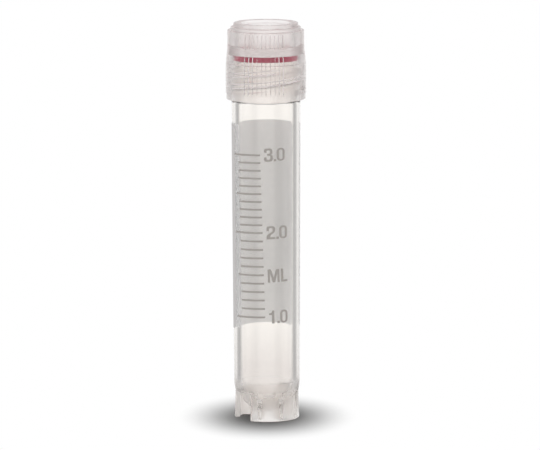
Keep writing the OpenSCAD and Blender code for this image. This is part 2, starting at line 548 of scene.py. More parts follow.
class NodeBench:
    """Adds and links the nodes of one material, world or group."""

    def __init__(self, tree: bpy.types.NodeTree) -> None:
        """Starts from an empty tree."""
        self.tree = tree
        tree.nodes.clear()

    def add(self, kind: str, **values: object) -> bpy.types.Node:
        """Adds a node and sets it up.

        Args:
            kind: the node's type, without its ShaderNode.
            **values: settings of the node, or by name with _ for a space what feeds its
                inputs, a value or the output of another node.

        Returns:
            The node.
        """
        known = kind if kind.startswith("Node") else f"ShaderNode{kind}"
        node = self.tree.nodes.new(known)
        for name, value in values.items():
            if hasattr(node, name):
                setattr(node, name, value)
            else:
                self.feed(node.inputs[name.replace("_", " ")], value)
        return node

    def feed(self, target: Socket, value: object) -> None:
        """Gives an input what it reads.

        Args:
            target: the input.
            value: a value, a colour or the output of another node.
        """
        if isinstance(value, Socket):
            self.tree.links.new(value, target)
        elif target.type == "RGBA" and len(value) == 3:
            target.default_value = (*value, 1)
        else:
            target.default_value = value

    def maths(self, how: str, *values: object) -> Socket:
        """Adds a Math node.

        Args:
            how: its operation.
            *values: its inputs, as numbers or outputs of other nodes.

        Returns:
            Its output.
        """
        node = self.add("Math", operation=how)
        for socket, value in zip(node.inputs, values, strict=False):
            self.feed(socket, value)
        return node.outputs[0]

    def rest(self, share: Socket) -> Socket:
        """What a share leaves of 1."""
        return self.maths("SUBTRACT", 1.0, share)

    def vectors(self, how: str, *values: object) -> bpy.types.Node:
        """Adds a Vector Math node.

        Args:
            how: its operation.
            *values: its inputs, as vectors or outputs of other nodes.

        Returns:
            The node.
        """
        node = self.add("VectorMath", operation=how)
        for socket, value in zip(node.inputs, values, strict=False):
            self.feed(socket, value)
        return node

    def blend(self, share: Socket, low: Socket | Colour, high: Socket | Colour) -> Socket:
        """Mixes two colours.

        Args:
            share: how much of the second one is taken.
            low: the first colour.
            high: the second colour.

        Returns:
            The mixed colour.
        """
        node = self.add("Mix", data_type="RGBA", Factor=share)
        self.feed(node.inputs[6], low)
        self.feed(node.inputs[7], high)
        return node.outputs[2]

    def layered(self, share: Socket, low: Socket, high: Socket) -> Socket:
        """Mixes two shaders.

        Args:
            share: how much of the second one is taken.
            low: the first shader.
            high: the second shader.

        Returns:
            The mixed shader.
        """
        node = self.add("MixShader", Fac=share)
        self.feed(node.inputs[1], low)
        self.feed(node.inputs[2], high)
        return node.outputs[0]


def shared_group(
    name: str,
    inputs: dict[str, str],
    outputs: dict[str, str],
    wire: Callable[[NodeBench, Sockets, Sockets], None],
) -> bpy.types.NodeTree:
    """A shader group, made the first time that it is asked for.

    Args:
        name: the group's name.
        inputs: the kind of each of its inputs by name, Float or Vector.
        outputs: the kind of each of its outputs by name.
        wire: adds the nodes between what it is given and what it gives out.

    Returns:
        The group.
    """
    group = bpy.data.node_groups.get(name)
    if group:
        return group
    group = bpy.data.node_groups.new(name, "ShaderNodeTree")
    for way, sockets in (("INPUT", inputs), ("OUTPUT", outputs)):
        for socket, kind in sockets.items():
            group.interface.new_socket(socket, in_out=way, socket_type=f"NodeSocket{kind}")
    bench = NodeBench(group)
    wire(bench, bench.add("NodeGroupInput").outputs, bench.add("NodeGroupOutput").inputs)
    return group


def surface_grain() -> bpy.types.NodeTree:
    """The shader group that all finishes share: cloudy patches and a fine surface grain.

    Returns:
        A group with the inputs Clouds, Stretch, Grain and Depth, and the outputs Cloud (a share
        from 0 to 1), Fine (a share from 0 to 1) and Normal.
    """

    def wire(bench: NodeBench, given: Sockets, out: Sockets) -> None:
        """Adds both noises and the bump that they make together.

        Args:
            bench: the group's nodes.
            given: what the group is given.
            out: what it gives out.
        """
        place = bench.add("TexCoord").outputs["Object"]
        spread = bench.add("CombineXYZ", X=1.0, Y=1.0, Z=given["Stretch"])
        drawn = bench.vectors("MULTIPLY", place, spread.outputs[0]).outputs[0]
        cloud = bench.add(
            "TexNoise", Vector=drawn, Scale=given["Clouds"], Detail=3.0, Roughness=0.55
        ).outputs[0]
        grain = bench.add(
            "TexNoise", Vector=place, Scale=given["Grain"], Detail=2.0, Roughness=0.6
        ).outputs[0]
        height = bench.maths("ADD", grain, cloud)
        bump = bench.add("Bump", Distance=GRAIN_H, Strength=given["Depth"], Height=height)
        for socket, value in (("Cloud", cloud), ("Fine", grain), ("Normal", bump.outputs[0])):
            bench.feed(out[socket], value)

    inputs = dict.fromkeys(("Clouds", "Stretch", "Grain", "Depth"), "Float")
    outputs = {"Cloud": "Float", "Fine": "Float", "Normal": "Vector"}
    return shared_group("surface_grain", inputs, outputs, wire)


def moulded_zones() -> bpy.types.NodeTree:
    """The shader group that finds the matt zones of a moulded piece by its place on it.

    Returns:
        A group with the inputs Below and Above (heights) and Within (a distance from the axis),
        and the outputs Low and High, 1 within that distance and below or above those heights,
        Depth, 1 at the foot and 0 above it, and Inner, 1 on a side that faces the axis.
    """

    def wire(bench: NodeBench, given: Sockets, out: Sockets) -> None:
        """Adds the comparisons of a point's height, distance from the axis and normal.

        Args:
            bench: the group's nodes.
            given: what the group is given.
            out: what it gives out.
        """
        around = bench.add("TexCoord").outputs
        x, y, high = bench.add("SeparateXYZ", Vector=around["Object"]).outputs
        squares = [bench.maths("MULTIPLY", part, part) for part in (x, y)]
        off_axis = bench.maths("SQRT", bench.maths("ADD", *squares))

        def ramp(value: Socket, edge: Socket | float, width: float) -> Socket:
            """Rises from 0 to 1 where a value passes an edge.

            Args:
                value: the value.
                edge: where it starts to rise.
                width: how far on it reaches 1.

            Returns:
                The share, from 0 to 1.
            """
            past = bench.maths("DIVIDE", bench.maths("SUBTRACT", value, edge), width)
            return bench.maths("MINIMUM", bench.maths("MAXIMUM", past, 0.0), 1.0)

        inside = bench.rest(ramp(off_axis, given["Within"], AXIS_EDGE))
        low_zone = bench.rest(ramp(high, given["Below"], LOW_EDGE))
        high_zone = ramp(high, given["Above"], HIGH_EDGE)
        level = bench.add("CombineXYZ", X=x, Y=y).outputs[0]
        facing = bench.vectors("DOT_PRODUCT", around["Normal"], level).outputs["Value"]
        bench.feed(out["Low"], bench.maths("MULTIPLY", low_zone, inside))
        bench.feed(out["High"], bench.maths("MULTIPLY", high_zone, inside))
        bench.feed(out["Depth"], bench.rest(ramp(high, FOOT_TOP, FOOT_FADE)))
        bench.feed(out["Inner"], bench.maths("LESS_THAN", facing, 0.0))

    inputs = dict.fromkeys(("Below", "Above", "Within"), "Float")
    outputs = dict.fromkeys(("Low", "High", "Depth", "Inner"), "Float")
    return shared_group("moulded_zones", inputs, outputs, wire)


def surround_shade() -> bpy.types.NodeTree:
    """The shader group that says how far a direction points to a corner of the studio.

    Returns:
        A group with the input Direction and the output Corner, 0 towards the front, the back
        and both sides, and 1 at the four corners.
    """

    def wire(bench: NodeBench, given: Sockets, out: Sockets) -> None:
        """Adds the direction's angle in the plan and the hump round a corner's.

        Args:
            bench: the group's nodes.
            given: what the group is given.
            out: what it gives out.
        """
        way = bench.add("SeparateXYZ", Vector=given[0]).outputs
        across, along = (bench.maths("ABSOLUTE", way[axis]) for axis in ("X", "Y"))
        angle = bench.maths("ARCTAN2", across, along)
        off = bench.maths("DIVIDE", bench.maths("SUBTRACT", angle, CORNER_TURN), CORNER_REACH)
        hump = bench.rest(bench.maths("MULTIPLY", off, off))
        bench.feed(out[0], bench.maths("MAXIMUM", hump, 0.0))

    return shared_group("surround_shade", {"Direction": "Vector"}, {"Corner": "Float"}, wire)


@dataclass(frozen=True)
class Finish:
    """A finish: two shades that drift into each other, its gloss, its grain and its haze.

    The heights below and above which it is matt, and how far from the axis, are in metres.
    """

    name: str
    shade: Colour
    drift: Colour
    rough: tuple[float, float]
    clouds: float
    stretch: float
    grain: float
    depth: float
    ior: float = 1.5
    clear: float = 0.0
    specular: float = 0.5
    sheen: float = 0.0
    fog: float = 0.0
    fog_ahead: float = 0.3
    fog_shade: Colour = WHITE
    smoke: float = 0.0
    smoke_shade: Colour = (0.0, 0.0, 0.0)
    matt_low: float = 0.3
    matt_high: float = 0.3
    below: float = -1.0
    above: float = 1.0
    within: float = 1.0
    # The colour that the body turns to towards the foot, darker and warmer, by height.
    low_shade: Colour | None = None
    # A colour of its own for the side that faces the axis. On the panel ink this is painted
    # shading: lighter than its outside, for the light that it gets through the tube.
    inner_painted_shading: Colour | None = None

    def material(self) -> bpy.types.Material:
        """Makes the material of this finish, or finds the one already made.

        Returns:
            The material.
        """
        made = bpy.data.materials.get(self.name)
        if made:
            return made
        made = bpy.data.materials.new(self.name)
        made.use_nodes = True
        bench = NodeBench(made.node_tree)
        grain = bench.add("Group", node_tree=surface_grain())
        zones = bench.add("Group", node_tree=moulded_zones())
        sizes = (self.clouds, self.stretch, self.grain, self.depth)
        places = (self.below, self.above, self.within)
        for socket, value in zip((*grain.inputs, *zones.inputs), (*sizes, *places), strict=True):
            socket.default_value = value
        colour = bench.blend(grain.outputs["Cloud"], self.shade, self.drift)
        for zone, shade in (("Depth", self.low_shade), ("Inner", self.inner_painted_shading)):
            if shade:
                colour = bench.blend(zones.outputs[zone], colour, shade)
        low, high = self.rough
        gloss = bench.add("MapRange", Value=grain.outputs["Fine"], To_Min=low, To_Max=high)
        rough = gloss.outputs[0]
        for zone, matt in (("Low", self.matt_low), ("High", self.matt_high)):
            mixed = bench.add("Mix", data_type="FLOAT", Factor=zones.outputs[zone])
            bench.feed(mixed.inputs[2], rough)
            bench.feed(mixed.inputs[3], matt)
            rough = mixed.outputs[0]
        shader = bench.add(
            "BsdfPrincipled",
            IOR=self.ior,
            Transmission_Weight=self.clear,
            Specular_IOR_Level=self.specular,
            Sheen_Weight=self.sheen,
            Base_Color=colour,
            Roughness=rough,
            Normal=grain.outputs["Normal"],
        )
        out = bench.add("OutputMaterial", Surface=shader.outputs[0])
        if self.fog:
            both = bench.add("AddShader")
            haze = bench.add(
                "VolumeScatter",
                Color=self.fog_shade,
                Density=self.fog,
                Anisotropy=self.fog_ahead,
            )
            smoke = bench.add("VolumeAbsorption", Color=self.smoke_shade, Density=self.smoke)
            for socket, volume in zip(both.inputs, (haze, smoke), strict=True):
                bench.feed(socket, volume.outputs[0])
            bench.feed(out.inputs["Volume"], both.outputs[0])
        return made


CLEAR_BODY = Finish(
    "moulded_clear_body",
    shade=(0.999, 0.982, 0.96),
    drift=(0.996, 0.977, 0.952),
    rough=(0.0, 0.05),
    clouds=160.0,
    stretch=0.12,
    grain=2500.0,
    depth=0.02,
    ior=1.49,
    clear=1.0,
    fog=8.0,
    fog_shade=(0.97, 0.96, 0.95),
    smoke=10.0,
    smoke_shade=(0.35, 0.22, 0.1),
    matt_low=0.5,
    matt_high=0.4,
    below=5.2 * MM,
    above=57.2 * MM,
    within=5.0 * MM,
    low_shade=(0.91, 0.883, 0.863),
)
FROSTED_CAP = Finish(
    "moulded_clear_cap",
    shade=(0.995, 0.98, 0.972),
    drift=(0.985, 0.965, 0.958),
    rough=(0.03, 0.1),
    clouds=220.0,
    stretch=0.3,
    grain=3500.0,
    depth=0.04,
    ior=1.49,
    clear=1.0,
    specular=0.25,
    fog=60.0,
    fog_shade=(0.95, 0.9, 0.9),
    smoke=25.0,
    smoke_shade=(0.25, 0.03, 0.0),
    matt_low=0.28,
    matt_high=0.3,
    below=63.2 * MM,
    above=66.2 * MM,
    within=6.3 * MM,
)
CRIMSON_RING = Finish(
    "crimson_silicone",
    shade=(0.38, 0.003, 0.055),
    drift=(0.32, 0.002, 0.045),
    rough=(0.5, 0.7),
    clouds=400.0,
    stretch=1.0,
    grain=9000.0,
    depth=0.1,
    specular=0.1,
    sheen=0.1,
)
# Painted shade: the panel's white ink is painted grey, and lighter on its inner side, which is seen
# through the tube.
PALE_INK = Finish(
    "pale_panel_ink",
    shade=(0.56, 0.545, 0.54),
    drift=(0.52, 0.505, 0.5),
    rough=(0.55, 0.75),
    clouds=900.0,
    stretch=0.8,
    grain=12000.0,
    depth=0.15,
    specular=0.3,
    inner_painted_shading=(0.79, 0.825, 0.875),
)
GREY_INK = Finish(
    "grey_scale_ink",
    shade=(0.32, 0.295, 0.275),
    drift=(0.37, 0.345, 0.325),
    rough=(0.5, 0.7),
    clouds=1500.0,
    stretch=0.8,
    grain=14000.0,
    depth=0.15,
    specular=0.3,
)


def hand_over(
    piece: bpy.types.Object, body: Body, slot: Slot, finish: Finish, *nodes: str
) -> bpy.types.Object:
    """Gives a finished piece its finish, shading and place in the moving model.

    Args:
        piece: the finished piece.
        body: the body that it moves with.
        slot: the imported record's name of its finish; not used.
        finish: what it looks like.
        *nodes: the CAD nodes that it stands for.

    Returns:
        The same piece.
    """
    take(piece)
    bpy.ops.object.shade_smooth_by_angle(angle=SHARP)
    piece.data.materials.clear()
    piece.data.materials.append(finish.material())
    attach(piece, body.value)
    if nodes:
        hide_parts(*nodes)
    mesh = bmesh.new()
    mesh.from_mesh(piece.data)
    loose = sum(not edge.is_manifold for edge in mesh.edges)
    volume = mesh.calc_volume(signed=True) * 1e9
    mesh.free()
    log.info(
        "%s: %d faces, %d open edges, %.1f mm3", piece.name, len(piece.data.polygons), loose, volume
    )
    return piece


# ---------------------------------------------------------------- the vial's pieces


@dataclass
class VialTube:
    """The moulded tube: body, neck with its thread, round bottom and notched foot."""

    rim_z: float
    neck_h: float
    body_top_r: float
    bore_top_r: float
    bore_foot_r: float = 4.65
    body_foot_r: float = 5.88
    neck_wall: float = 0.66
    floor_gap: float = 1.0
    floor_t: float = 1.5
    bore_ring: float = 0.15  # height of the ring of points over the round floor
    dome_wall: float = 0.6
    foot_h: float = 5.0
    flare_h: float = 1.1
    waist_inset: float = 0.28
    skirt_flare: float = 0.15
    skirt_wall: float = 0.9
    notch_turn: float = -60.0
    notch_angle: float = 58.0
    notch_reach: float = 0.6
    notch_clear: float = 1.0
    places: int = 8
    rib_root_w: float = 1.2
    rib_edge_w: float = 0.5
    rib_reach: float = 1.7
    rib_lift: float = 0.3
    rib_sink: float = 0.3
    thread_depth: float = 0.5

    def __post_init__(self) -> None:
        """Works out the sizes that follow from the others."""
        self.shoulder_z = self.rim_z - self.neck_h
        self.neck_r = self.bore_top_r + self.neck_wall
        self.waist_r = self.body_foot_r - self.waist_inset
        self.skirt_r = self.waist_r + self.skirt_flare
        self.skirt_in_r = self.skirt_r - self.skirt_wall

    def outline(self) -> Profile:
        """Draws the tube from its lowest point round the outside and down the bore.

        Returns:
            The points, as radius and height.
        """
        dome_r = self.bore_foot_r + self.dome_wall
        dome_z = self.floor_gap + dome_r
        bore_z = self.floor_gap + self.floor_t + self.bore_foot_r
        meets = math.degrees(math.asin(self.skirt_in_r / dome_r))
        outside = traced(
            bowl(dome_z, dome_r, 0, meets)[-1], (self.skirt_in_r, 0, 0.12), (self.skirt_r, 0, 0.2),
            (self.waist_r, self.foot_h, 0.5), (self.body_foot_r, self.foot_h + self.flare_h, 0.6),
            (self.body_top_r, self.shoulder_z, 0.3), (self.neck_r, self.shoulder_z, 0.1),
            (self.neck_r, self.rim_z, 0.22), (self.bore_top_r, self.rim_z, 0.12),
            (self.bore_top_r, self.shoulder_z), (self.bore_foot_r, bore_z + self.bore_ring),
            (self.bore_foot_r, bore_z),
        )
        inside = bowl(bore_z, self.bore_foot_r, 90, 0)
        turned_side = softened(outside, hold=0.1)
        return [*bowl(dome_z, dome_r, 0, meets)[:-1], *turned_side, *inside[1:]]

    def _foot_rib(self) -> bpy.types.Object:
        """Models a rib of the foot, narrower at its lower edge.

        Returns:
            The closed rib, centred on the origin.
        """
        bpy.ops.object.select_all(action="DESELECT")
        bpy.ops.mesh.primitive_cube_add(size=MM)
        rib = bpy.context.object
        long = self.rib_reach + self.rib_sink
        rib.scale = (long, self.rib_root_w, self.foot_h - self.rib_lift)
        settle(rib)
        with editing(rib):
            pick_points(rib, lambda at: at.z < 0)
            scale_selected(1, self.rib_edge_w / self.rib_root_w, 1)
        return rib

    def build(self) -> bpy.types.Object:
        """Models the whole tube as one closed piece.

        Returns:
            The tube.
        """
        tube = turned("vial_tube", self.outline())
        low = Corner(self.skirt_in_r - self.notch_reach, -self.notch_clear)
        high = Corner(self.skirt_r + self.notch_clear, self.foot_h)
        notch, rib = sector_block(low, high, 0, self.notch_angle), self._foot_rib()
        rib_r = self.skirt_in_r + (self.rib_sink - self.rib_reach) / 2
        rib.location = Vector((rib_r, 0, (self.rib_lift + self.foot_h) / 2)) * MM
        settle(rib)
        turns = [self.notch_turn + place * 360 / self.places for place in range(self.places)]
        notches = turns[:: self.places // 2]
        for turn in notches:
            cutter = copied(notch)
            cutter.rotation_euler.z = math.radians(turn)
            combine(tube, settle(cutter), Join.CUT)
        for turn in turns:
            if turn not in notches:
                copy = copied(rib)
                copy.rotation_euler.z = math.radians(FRONT + turn)
                combine(tube, settle(copy), Join.ADD)
        for model in (notch, rib):
            bpy.data.objects.remove(model)
        Thread(self.neck_r, self.thread_depth).add_to(tube)
        return hand_over(tube, Body.VIAL, Slot.TUBE, CLEAR_BODY, "tube")

    def wall_r(self, z: float) -> float:
        """Finds the radius of the body's outer face.

        Args:
            z: a height on it.

        Returns:
            The radius there.
        """
        low = self.foot_h + self.flare_h
        share = (z - low) / (self.shoulder_z - low)
        return self.body_foot_r + (self.body_top_r - self.body_foot_r) * share


@dataclass
class ScrewCap:
    """The fluted screw cap, with its thread, washer seat and the recess in its top."""

    low: float
    top: float
    grip_r: float
    washer_r: float
    washer_top: float
    bore_r: float = 6.26
    hem_h: float = 1.1
    hem_inset: float = 0.1
    straight_h: float = 5.0
    upper_h: float = 2.7
    lean: float = 0.35
    web_t: float = 1.4
    seat_h: float = 1.6
    seat_clear: float = 0.05
    recess_r: float = 4.8
    lip: float = 0.35
    lip_h: float = 0.55
    crown_h: float = 0.7
    crown_wall: float = 1.3
    step_h: float = 0.6
    step_out: float = 0.5
    panels: int = 3
    panel_turn: float = -3.0
    panel_angle: float = 58.0
    flutes: int = 9
    flute_depth: float = 0.16
    rings_low: tuple[float, float] = (0.15, 0.3)  # a flute's lower end slopes between these
    rings_high: tuple[float, float] = (0.3, 0.4)
    flute_low: float = 0.25  # points past this height above the hem are pressed in
    flute_high: float = 0.35
    flute_skin: float = 0.02
    thread_depth: float = 0.5
    thread_low: float = 59.2

    def outline(self) -> Profile:
        """Draws the cap from the recess's floor over the outside to the washer's seat.

        Returns:
            The points, as radius and height.
        """
        lip_r = self.recess_r - self.lip
        crown_r = lip_r + self.crown_wall
        step_z, recess_z = self.top - self.crown_h, self.washer_top + self.web_t
        self.grip_top = step_z - self.step_h
        self.hem_top = self.low + self.hem_h
        hem_r, seat_r = self.grip_r - self.hem_inset, self.washer_r + self.seat_clear
        corners = traced(
            (0, recess_z), (self.recess_r, recess_z, 0.25),
            (self.recess_r, self.top - self.lip_h, 0.1), (lip_r, self.top - self.lip_h, 0.08),
            (lip_r, self.top, 0.15), (crown_r, self.top, 0.25), (crown_r, step_z, 0.08),
            (crown_r + self.step_out, step_z, 0.25), (crown_r + self.step_out, self.grip_top, 0.06),
            (self.grip_r - self.lean, self.grip_top, 0.16),
            (self.grip_r - self.lean, self.grip_top - self.rings_high[0]),
            (self.grip_r - self.lean, self.grip_top - self.rings_high[1]),
            (self.grip_r - self.lean, self.grip_top - self.upper_h, 0.6),
            (self.grip_r, self.hem_top + self.straight_h, 0.6),
            (self.grip_r, self.hem_top + self.rings_low[1]),
            (self.grip_r, self.hem_top + self.rings_low[0]), (self.grip_r, self.hem_top, 0.06),
            (hem_r, self.hem_top, 0.04), (hem_r, self.low, 0.14), (self.bore_r, self.low, 0.12),
            (self.bore_r, self.washer_top - self.seat_h, 0.06),
            (seat_r, self.washer_top - self.seat_h, 0.06), (seat_r, self.washer_top, 0.1),
            (0, self.washer_top),
        )
        return softened(corners, hold=0.1)

    def _flute_facets(self) -> set[int]:
        """Finds the facet edges that the flutes' middle lines follow.

        Returns:
            Their numbers, counted from the front.
        """
        pitch = self.panel_angle / self.flutes
        middles = [self.panel_turn + panel * 360 / self.panels for panel in range(self.panels)]
        offs = [(step - self.flutes / 2) * pitch for step in range(self.flutes + 1)]
        edges = (round((middle + off) * FINE_TURNS / 360) for middle in middles for off in offs)
        return {edge % FINE_TURNS for edge in edges}

    def build(self) -> bpy.types.Object:
        """Models the cap as one closed piece, with its flutes pressed into the grip.

        Returns:
            The cap.
        """
        cap = turned("vial_cap", self.outline(), FINE_TURNS)
        facets = self._flute_facets()
        low = (self.hem_top + self.flute_low) * MM
        high = (self.grip_top - self.flute_high) * MM
        face_r = (self.grip_r - self.lean - self.flute_skin) * MM

        def along_flute(at: Vector) -> bool:
            """Tells whether a point of the grip's face lies on the middle line of a flute.

            Args:
                at: the point's place.

            Returns:
                Whether it does.
            """
            edge = angle_of(at) * FINE_TURNS / 360
            on_line = abs(edge - round(edge)) < ON_EDGE and round(edge) % FINE_TURNS in facets
            return on_line and low < at.z < high and math.hypot(at.x, at.y) > face_r

        with editing(cap):
            pick_points(cap, along_flute)
            inward = (self.grip_r - self.flute_depth) / self.grip_r
            scale_selected(inward, inward, 1)
        Thread(self.bore_r, -self.thread_depth, low=self.thread_low).add_to(cap)
        return hand_over(cap, Body.CLOSURE, Slot.CAP, FROSTED_CAP, "cap")


@dataclass
class SealingWasher:
    """The silicone ring between the tube's rim and the cap."""

    low: float
    high: float
    outer_r: float
    width: float = 1.75
    soft: float = 0.15

    def build(self) -> bpy.types.Object:
        """Models the ring with rounded edges.

        Returns:
            The ring.
        """
        inner = self.outer_r - self.width
        corners = traced(
            (inner, (self.low + self.high) / 2), (inner, self.low, self.soft),
            (self.outer_r, self.low, self.soft), (self.outer_r, self.high, self.soft),
            (inner, self.high, self.soft), (inner, (self.low + self.high) / 2),
        )
        ring = turned("sealing_washer", softened(corners))
        return hand_over(ring, Body.SEAL, Slot.WASHER, CRIMSON_RING, "washer")


@dataclass
class Artwork:
    """Flat print that is bent round the tube as a thin film of ink."""

    tube: VialTube
    wall: bpy.types.Object
    gap: float = 0.012
    film: float = 0.02
    column: float = 0.3

    def apply(self, flat: bpy.types.Object) -> bpy.types.Object:
        """Bends a flat piece, drawn in the plane of X and Z, round the tube's front.

        Args:
            flat: the drawing, with X as the length round the tube from the front.

        Returns:
            The piece as a closed film on the wall.
        """
        settle(flat)
        xs = [point.co.x for point in flat.data.vertices]
        zs = [point.co.z for point in flat.data.vertices]
        r = self.tube.wall_r((min(zs) + max(zs)) / 2 / MM) * MM
        with editing(flat, "FACE"):
            first, last = (math.ceil(x / self.column / MM) for x in (min(xs), max(xs)))
            for cut in range(first, last):
                pick_all()
                place = (cut * self.column * MM, 0, 0)
                bpy.ops.mesh.bisect(plane_co=place, plane_no=(1, 0, 0))
        finish_with(
            flat,
            "SIMPLE_DEFORM",
            deform_method="BEND",
            deform_axis="Z",
            angle=(max(xs) - min(xs)) / r,
        )
        flat.location.y = -r
        settle(flat)
        finish_with(
            flat,
            "SHRINKWRAP",
            target=self.wall,
            wrap_method="NEAREST_SURFACEPOINT",
            wrap_mode="ABOVE_SURFACE",
            offset=self.gap * MM,
        )
        finish_with(flat, "SOLIDIFY", thickness=self.film * MM, offset=1.0)
        return flat


def glyph(*loops: Sequence[Corner]) -> bpy.types.Object:
    """Draws a flat letter or digit from one outline, or a round one from two.

    Args:
        *loops: the closed outer outline, and the inner one where it has a hole.

    Returns:
        The flat piece, which faces the front.
    """
    lines = [drawn_line(softened(loop, steps=6, closed=True)) for loop in loops]
    take(*lines)
    if len(lines) > 1:
        bpy.ops.object.join()
    flat = bpy.context.object
    with editing(flat, "EDGE"):
        pick_all()
        bpy.ops.mesh.remove_doubles(threshold=WELD)
        pick_all()
        if len(lines) > 1:
            bpy.ops.mesh.bridge_edge_loops()
        else:
            bpy.ops.mesh.edge_face_add()
        pick_all()
        bpy.ops.mesh.normals_make_consistent(inside=False)
    with editing(flat, "FACE"):
        pick_faces(flat, lambda _, normal: normal.y > 0)
        bpy.ops.mesh.flip_normals()
    return flat


def flat_bar(width: float, height: float) -> bpy.types.Object:
    """Makes a flat upright rectangle that faces the front.

    Args:
        width: its size along X.
        height: its size along Z.

    Returns:
        The rectangle, centred on the origin.
    """
    bar = upright_square()
    bar.scale = (width, height, 1)
    return settle(bar)


@dataclass(frozen=True)
class Letter:
    """A letter or digit: its outlines, its own width and the gap after it."""

    width: float
    gap: float
    loops: tuple[tuple[Corner, ...], ...]

    @property
    def advance(self) -> float:
        """How far the next letter starts after this one."""
        return self.width + self.gap


LETTER_H = 2.34
ZERO = Letter(
    width=1.5,
    gap=0.0,
    loops=(
        traced((0, 0, 0.75), (1.5, 0, 0.75), (1.5, LETTER_H, 0.75), (0, LETTER_H, 0.75)),
        traced((0.42, 0.32, 0.33), (1.08, 0.32, 0.33), (1.08, 2.02, 0.33), (0.42, 2.02, 0.33)),
    ),
)
POINT = Letter(
    width=0.48,
    gap=0.07,
    loops=(traced((0, 0), (0.48, 0), (0.48, 0.42), (0, 0.42)),),
)
ONE = Letter(
    width=0.95,
    gap=0.5,
    loops=(
        traced(
            (0.5, 0), (0.95, 0), (0.95, LETTER_H), (0.6, LETTER_H), (0.48, 1.9, 0.25), (0, 1.86),
            (0, 1.55), (0.5, 1.55),
        ),
    ),
)
TWO = Letter(
    width=1.5,
    gap=0.14,
    loops=(
        traced(
            (0, 0), (1.48, 0), (1.48, 0.38), (0.55, 0.38, 0.1), (0.75, 0.8, 0.2), (1.5, 1.3, 0.4),
            (1.5, LETTER_H, 0.7), (0.02, LETTER_H, 0.7), (0.02, 1.48), (0.44, 1.48),
            (0.44, 2.02, 0.28), (1.06, 2.02, 0.28), (1.06, 1.4, 0.28), (0, 0.72, 0.4),
        ),
    ),
)
THREE = Letter(
    width=1.5,
    gap=0.12,
    loops=(
        traced(
            (0, 0.78), (0, 0, 0.62), (1.5, 0, 0.62), (1.5, 1.12, 0.32), (1.16, 1.22, 0.08),
            (1.45, 1.36, 0.3), (1.45, LETTER_H, 0.6), (0.02, LETTER_H, 0.6), (0.02, 1.6),
            (0.45, 1.6), (0.45, 2.02, 0.26), (1.02, 2.02, 0.26), (1.02, 1.4, 0.26), (0.56, 1.4),
            (0.56, 1.06), (1.06, 1.06, 0.26), (1.06, 0.32, 0.26), (0.43, 0.32, 0.26), (0.43, 0.78),
        ),
    ),
)
M = Letter(
    width=2.1,
    gap=0.3,
    loops=(
        traced(
            (0, 0), (0.39, 0), (0.39, 1.65), (0.84, 0), (1.26, 0), (1.71, 1.65), (1.71, 0),
            (2.1, 0), (2.1, LETTER_H), (1.5, LETTER_H), (1.05, 0.85), (0.6, LETTER_H),
            (0, LETTER_H),
        ),
    ),
)
L = Letter(
    width=1.25,
    gap=0.0,
    loops=(
        traced((0, 0), (1.25, 0), (1.25, 0.35), (0.43, 0.35), (0.43, LETTER_H), (0, LETTER_H)),
    ),
)


